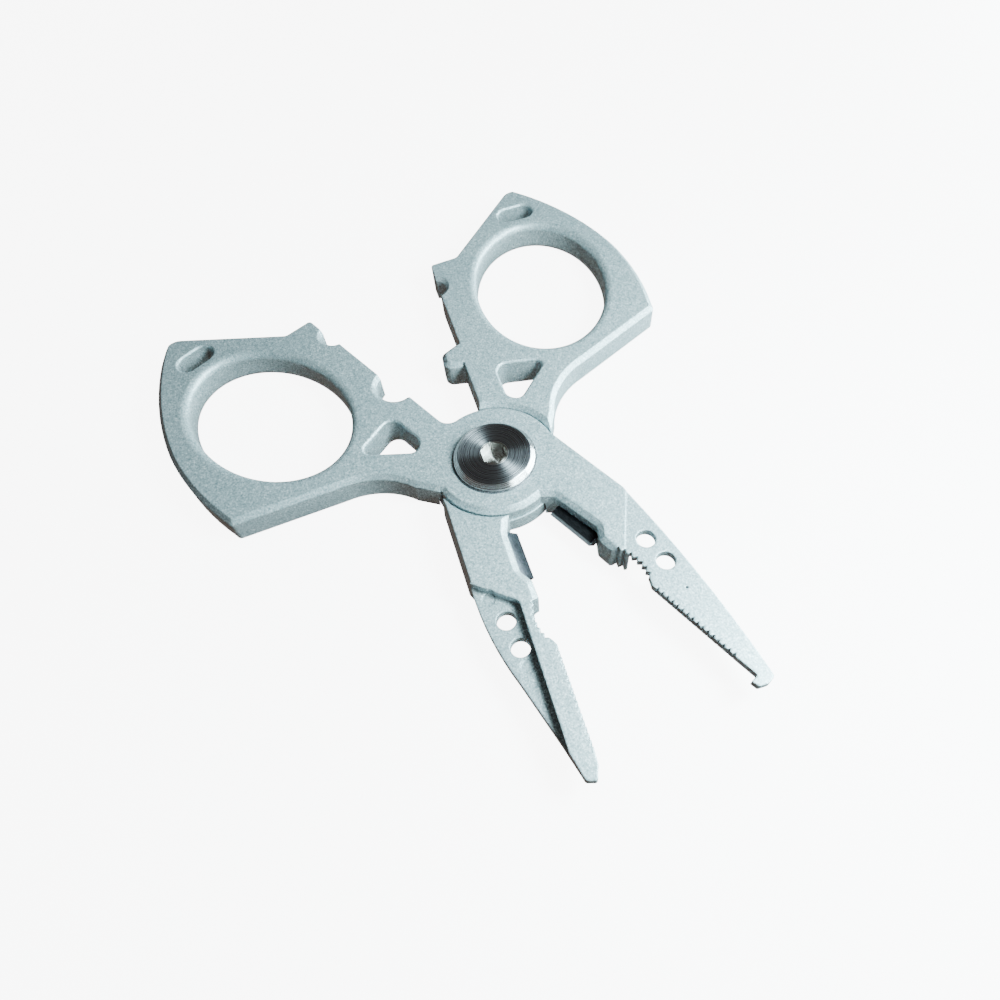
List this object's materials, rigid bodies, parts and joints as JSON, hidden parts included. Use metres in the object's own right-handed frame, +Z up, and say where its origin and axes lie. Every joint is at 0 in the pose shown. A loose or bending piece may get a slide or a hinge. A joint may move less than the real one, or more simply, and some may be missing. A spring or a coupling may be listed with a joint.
{
  "type": "fishing pliers",
  "caption": "Flat fishing pliers with oval finger rings, toothed slender jaws, a hooked split-ring tip, cutter inserts and a central screw pivot.",
  "frame": {"origin": "point where the pivot axis meets the face the tool lies on", "axes": "+Z up along the pivot axis, +X along the closing line towards the jaw tips, +Y towards the ring of the lower lever"},
  "size_m": [0.1102, 0.0938, 0.0075],
  "materials": {
    "lever": "fine bead-blasted and clear anodised, cool grey",
    "cutter": "ground hard alloy, dark blue-grey",
    "sleeve": "turned steel",
    "screw": "polished steel with fine turning rings",
    "washer": "rolled steel shim"
  },
  "bodies": {
    "lower": {"lever_lower": "lever", "cutter_lower": "cutter", "pivot_sleeve": "sleeve", "pivot_screw": "screw", "lap_washer": "washer", "head_washer": "washer"},
    "upper": {"lever_upper": "lever", "cutter_upper": "cutter"}
  },
  "joints": [
    {"name": "pivot", "type": "hinge", "parent": "lower", "child": "upper", "pos_m": [0, 0, 0], "axis": [0, 0, 1], "range_deg": [-27.3, 0.6]}
  ]
}
